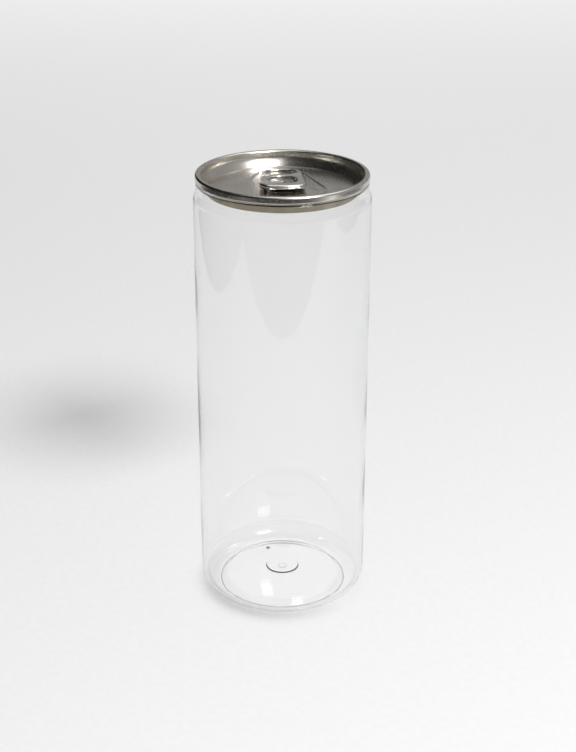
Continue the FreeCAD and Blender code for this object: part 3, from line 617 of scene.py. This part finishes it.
# The product side of the end carries the gold lacquer: faces below the seam that look down or outward,
# except the upright wall round the panel. The limits are the least share of a face's direction.
lacquerValues = {"downward": 0.15, "outward": 0.5, "wallBand": 0.12}
metalEnd.data.materials.append(lacquerMaterial)
faceCount = len(metalEnd.data.polygons)
middles, normals = np.empty(faceCount * 3), np.empty(faceCount * 3)
metalEnd.data.polygons.foreach_get("center", middles)
metalEnd.data.polygons.foreach_get("normal", normals)
middles, normals = middles.reshape(-1, 3) / mm, normals.reshape(-1, 3)
fromMiddle = np.hypot(middles[:, 0], middles[:, 1])
outwardness = (middles[:, :2] * normals[:, :2]).sum(1) / np.maximum(fromMiddle, 1e-6)
belowSeam = (fromMiddle < endValues["lacquerReach"]) & (middles[:, 2] < endValues["lacquerTop"])
panelWall = (np.abs(fromMiddle - endValues["panel"]) < lacquerValues["wallBand"]) & (outwardness > 0)
productSide = (normals[:, 2] < -lacquerValues["downward"]) | (outwardness > lacquerValues["outward"])
lacquered = belowSeam & productSide & ~panelWall
metalEnd.data.polygons.foreach_set("material_index", lacquered.astype(np.int32))
print("materials made")

# Camera, turned three degrees round the can, since the end stands turned that much.
cameraValues = {"distance": 449.98, "height": 278.15, "turn": -3.0, "pitch": 0.4175, "yaw": 0.0042,
                "roll": 0.0019, "lens": 69.51, "sensor": 36}
turn = Matrix.Rotation(math.radians(cameraValues["turn"]), 4, "Z")
cameraData = bpy.data.cameras.new("camera")
cameraData.sensor_width = cameraValues["sensor"]
cameraData.lens = cameraValues["lens"]
camera = bpy.data.objects.new("camera", cameraData)
bpy.context.collection.objects.link(camera)
bpy.context.scene.camera = camera
pitch, yaw = cameraValues["pitch"], cameraValues["yaw"]
forward = Vector((math.sin(yaw) * math.cos(pitch), math.cos(yaw) * math.cos(pitch), -math.sin(pitch)))
rolled = Matrix.Rotation(cameraValues["roll"], 3, "Z")
aim = (forward.to_track_quat("-Z", "Y").to_matrix() @ rolled).to_4x4()
stand = Matrix.Translation((0, -cameraValues["distance"] * mm, cameraValues["height"] * mm))
camera.matrix_world = turn @ stand @ aim

# Matt white board: an even light grey with faint mottling of 2.5 mm and a tooth of 0.7 mm, which is coarser
# than the real one so that it shows. Contact shade under the heel:
# 1 - depth x exp(-((radius - ring) / width)^2), deepest towards one side.
floorValues = {"light": "c6c6c6", "dark": "c3c3c3", "roughness": 0.9, "mottleSize": 2.5, "toothSize": 0.7,
               "toothDepth": 0.004, "left": -4, "right": 4, "front": -3, "back": 6}
shadeValues = {"ring": 26.0, "width": 3.6, "depth": 0.34, "farShare": 0.12, "fadeFrom": -0.2,
               "towards": (-0.82, -0.57, 0)}
floorMaterial, floorTree, floorShader = newMaterial("matt white board", {
    "Roughness": floorValues["roughness"]})
floorSpot = addNode(floorTree, "ShaderNodeTexCoord", {}, {}).outputs["Object"]
floorPlace = addNode(floorTree, "ShaderNodeVectorMath", {"operation": "MULTIPLY", 1: (perMm, perMm, perMm)},
                     {0: floorSpot})
mottle = addNode(floorTree, "ShaderNodeTexNoise", {"Scale": 1 / floorValues["mottleSize"], "Detail": 3},
                 {"Vector": floorPlace})
mottleShare = addNode(floorTree, "ShaderNodeMapRange", noiseSpan, {"Value": mottle})
floorTone = addNode(floorTree, "ShaderNodeMix", {
    "data_type": "RGBA", 6: linearColour(floorValues["dark"]), 7: linearColour(floorValues["light"])},
    {0: mottleShare})
flatPlace = addNode(floorTree, "ShaderNodeVectorMath", {"operation": "MULTIPLY", 1: (1, 1, 0)},
                    {0: floorPlace})
fromCan = addNode(floorTree, "ShaderNodeVectorMath", {"operation": "LENGTH"}, {0: flatPlace})
offset = addNode(floorTree, "ShaderNodeMath", {"operation": "SUBTRACT", 1: shadeValues["ring"]},
                 {0: fromCan.outputs["Value"]})
widths = addNode(floorTree, "ShaderNodeMath", {"operation": "DIVIDE", 1: shadeValues["width"]}, {0: offset})
square = addNode(floorTree, "ShaderNodeMath", {"operation": "MULTIPLY"}, {0: widths, 1: widths})
bell = addNode(floorTree, "ShaderNodeMath", {"operation": "POWER", 0: math.exp(-1)}, {1: square})
side = addNode(floorTree, "ShaderNodeVectorMath", {"operation": "NORMALIZE"}, {0: flatPlace})
lean = addNode(floorTree, "ShaderNodeVectorMath", {
    "operation": "DOT_PRODUCT", 1: shadeValues["towards"]}, {0: side}).outputs["Value"]
share = addNode(floorTree, "ShaderNodeMapRange", {
    "From Min": shadeValues["fadeFrom"], "To Min": shadeValues["farShare"] * shadeValues["depth"],
    "To Max": shadeValues["depth"]}, {"Value": lean})
shade = addNode(floorTree, "ShaderNodeMath", {"operation": "MULTIPLY"}, {0: bell, 1: share})
floorColour = addNode(floorTree, "ShaderNodeMix", {"data_type": "RGBA", 7: linearColour("000000")},
                      {0: shade, 6: floorTone.outputs[2]})
tooth = addNode(floorTree, "ShaderNodeTexNoise", {"Scale": 1 / floorValues["toothSize"], "Detail": 2},
                {"Vector": floorPlace})
toothHeight = addNode(floorTree, "ShaderNodeMapRange", noiseSpan, {"Value": tooth})
toothed = addNode(floorTree, "ShaderNodeBump", {
    "Distance": floorValues["toothDepth"] * mm, "Strength": 1.0}, {"Height": toothHeight})
feed(floorTree, floorShader, {"Base Color": floorColour.outputs[2], "Normal": toothed})
floorMesh = bpy.data.meshes.new("floor")
left, right, front, back = (floorValues[edge] for edge in ("left", "right", "front", "back"))
floorCorners = [(left, front, 0), (right, front, 0), (right, back, 0), (left, back, 0)]
floorMesh.from_pydata(floorCorners, [], [(0, 1, 2, 3)])
floor = bpy.data.objects.new("floor", floorMesh)
floorMesh.materials.append(floorMaterial)
bpy.context.collection.objects.link(floor)

# Even white surroundings.
worldValues = {"colour": "ffffff", "strength": 0.34}
world = bpy.data.worlds.new("studio")
bpy.context.scene.world = world
world.use_nodes = True
background = world.node_tree.nodes["Background"]
background.inputs["Color"].default_value = linearColour(worldValues["colour"])
background.inputs["Strength"].default_value = worldValues["strength"]
bpy.context.scene.view_settings.view_transform = "Standard"


# Where a thing stands in a direction from the can: azimuth to the right of the camera, elevation, distance.
def standAt(azimuth, elevation, distance):
    a, e = math.radians(azimuth), math.radians(elevation)
    return Vector((math.sin(a) * math.cos(e), -math.cos(a) * math.cos(e), math.sin(e))) * distance


# Frame of an object at a place, turned with the camera, whose -Z axis faces a target.
def facing(at, target):
    look = (Vector(target) - Vector(at)).to_track_quat("-Z", "Y").to_matrix().to_4x4()
    return turn @ Matrix.Translation(at) @ look


# Rectangular lamp that faces its target; what it is hidden from names kinds of ray.
def addLight(name, at, target, size, power, hiddenFrom):
    data = bpy.data.lights.new(name, "AREA")
    data.shape = "RECTANGLE"
    data.size, data.size_y = size
    data.energy = power
    lamp = bpy.data.objects.new(name, data)
    bpy.context.collection.objects.link(lamp)
    lamp.matrix_world = facing(at, target)
    for ray in hiddenFrom:
        setattr(lamp, "visible_" + ray, False)


# Black studio flag: only reflections show it.
def addFlag(name, at, target, size):
    mesh = bpy.data.meshes.new(name)
    w, h = size[0] / 2, size[1] / 2
    mesh.from_pydata([(-w, -h, 0), (w, -h, 0), (w, h, 0), (-w, h, 0)], [], [(0, 1, 2, 3)])
    mesh.materials.append(flagMaterial)
    flag = bpy.data.objects.new(name, mesh)
    bpy.context.collection.objects.link(flag)
    flag.matrix_world = facing(at, target)
    flag.visible_camera = False
    flag.visible_diffuse = False
    flag.visible_shadow = False
    flag.visible_transmission = False


# Black cloth: matt, so that it gives the metal and the shell dark reflections.
flagMaterial = newMaterial("black cloth", {"Base Color": linearColour("0c0c0c"), "Roughness": 1.0})[0]
# Lamps: place, target, size in metres, watts and the rays they are hidden from.
lidAt = Vector((0, 0, 0.146))
lamps = {
    "key softbox": (standAt(33.5, 43, 1.0) + lidAt, lidAt, (0.28, 0.22), 12.5, ()),
    "key halo": (standAt(33.5, 40, 1.05) + lidAt, lidAt, (0.4, 0.66), 0.8, ("diffuse",)),
    "top card": ((0.4, 0.4, 1.6), (0.1, 0.25, 0), (0.9, 1.5), 6, ("diffuse",)),
    "sweep softbox": ((0, 2.4, 2.0), (0, 1.3, 0), (3.0, 1.2), 92, ("glossy", "transmission")),
    "back card": ((0, 1.8, 1.9), (0, 0, 0.1), (5.0, 3.2), 34, ("diffuse", "glossy")),
}
for name, lampValues in lamps.items():
    addLight(name, *lampValues)
# Flags: place, target and size in metres. The last three lie flat, 4 mm over the table.
flags = {
    "front flag": (standAt(-50, 30, 1.3), lidAt, (2.2, 1.9)),
    "side flag": (standAt(-120, 30, 1.3), lidAt, (2.2, 1.9)),
    "low flag": (standAt(0, 8, 1.25), lidAt, (2.4, 0.62)),
    "left table flag": ((-0.72, -0.15, 0.004), (-0.72, -0.15, -1), (0.8, 0.9)),
    "right table flag": ((0.62, 0.1, 0.004), (0.62, 0.1, -1), (0.4, 0.5)),
    "table flag": ((0, -0.65, 0.004), (0, -0.65, -1), (1.1, 0.76)),
}
for name, flagValues in flags.items():
    addFlag(name, *flagValues)
print("studio made")
